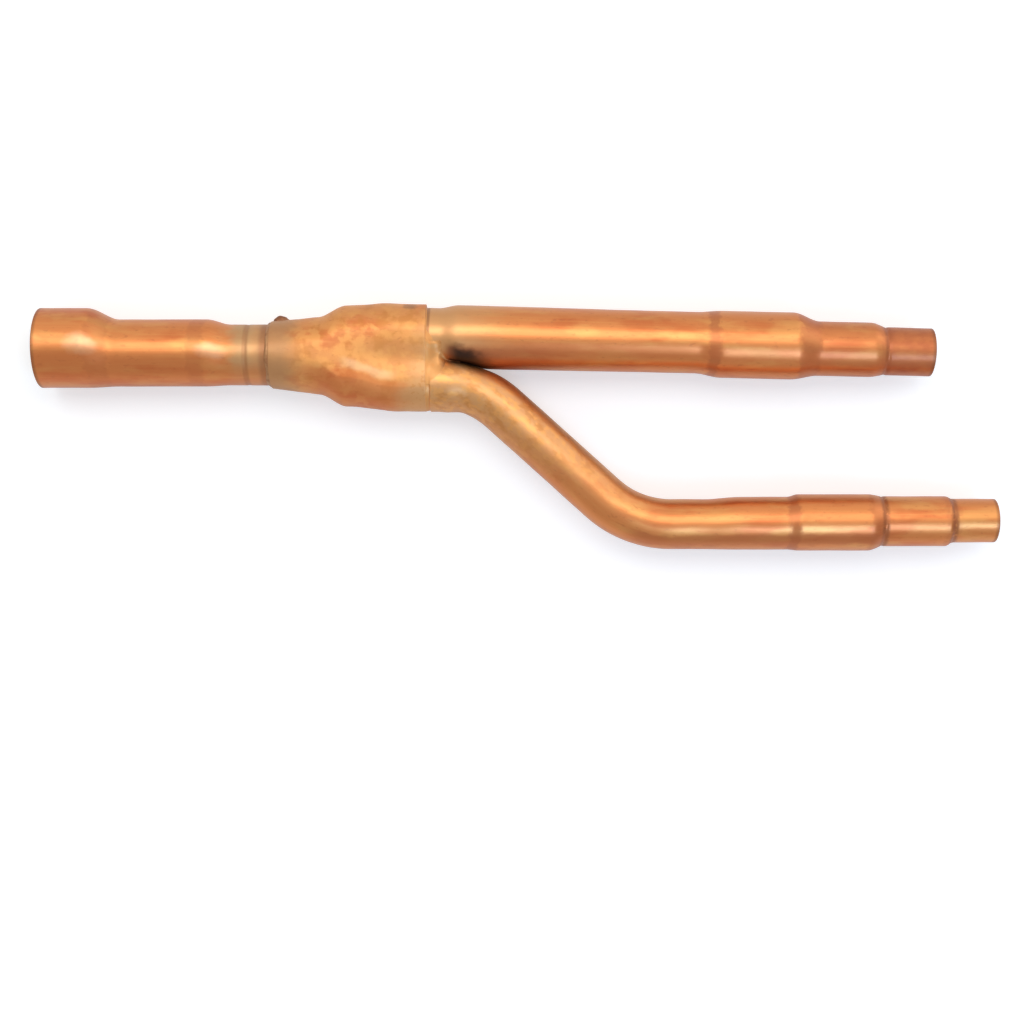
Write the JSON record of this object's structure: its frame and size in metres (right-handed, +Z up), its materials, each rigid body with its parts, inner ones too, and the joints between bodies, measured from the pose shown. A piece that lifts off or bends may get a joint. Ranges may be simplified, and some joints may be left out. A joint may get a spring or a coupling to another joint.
{
  "type": "refrigerant branch joint",
  "caption": "Y-shaped copper branch joint for refrigerant lines: stepped inlet socket, pressed body, straight stepped run and offset stepped branch.",
  "frame": {"origin": "centre of the inlet mouth", "axes": "+X from the inlet toward the outlets, -Y toward the branch, +Z up from the surface that it lies on"},
  "size_m": [0.4807, 0.1249, 0.0402],
  "materials": {
    "stub_copper": "bright copper, heat tinted near the collar",
    "body_copper": "pressed copper, tan where it was brazed",
    "run_copper": "bright drawn copper with reddish bands at the steps",
    "branch_copper": "bright drawn copper with reddish bands at the steps",
    "inlet_braze_metal": "dull brown braze metal",
    "outlet_braze_metal": "dull tan braze metal"
  },
  "bodies": {
    "root": {"inlet_stub": "stub_copper", "y_body": "body_copper", "run_tube": "run_copper", "branch_tube": "branch_copper", "inlet_braze": "inlet_braze_metal", "outlet_braze": "outlet_braze_metal"}
  },
  "joints": []
}
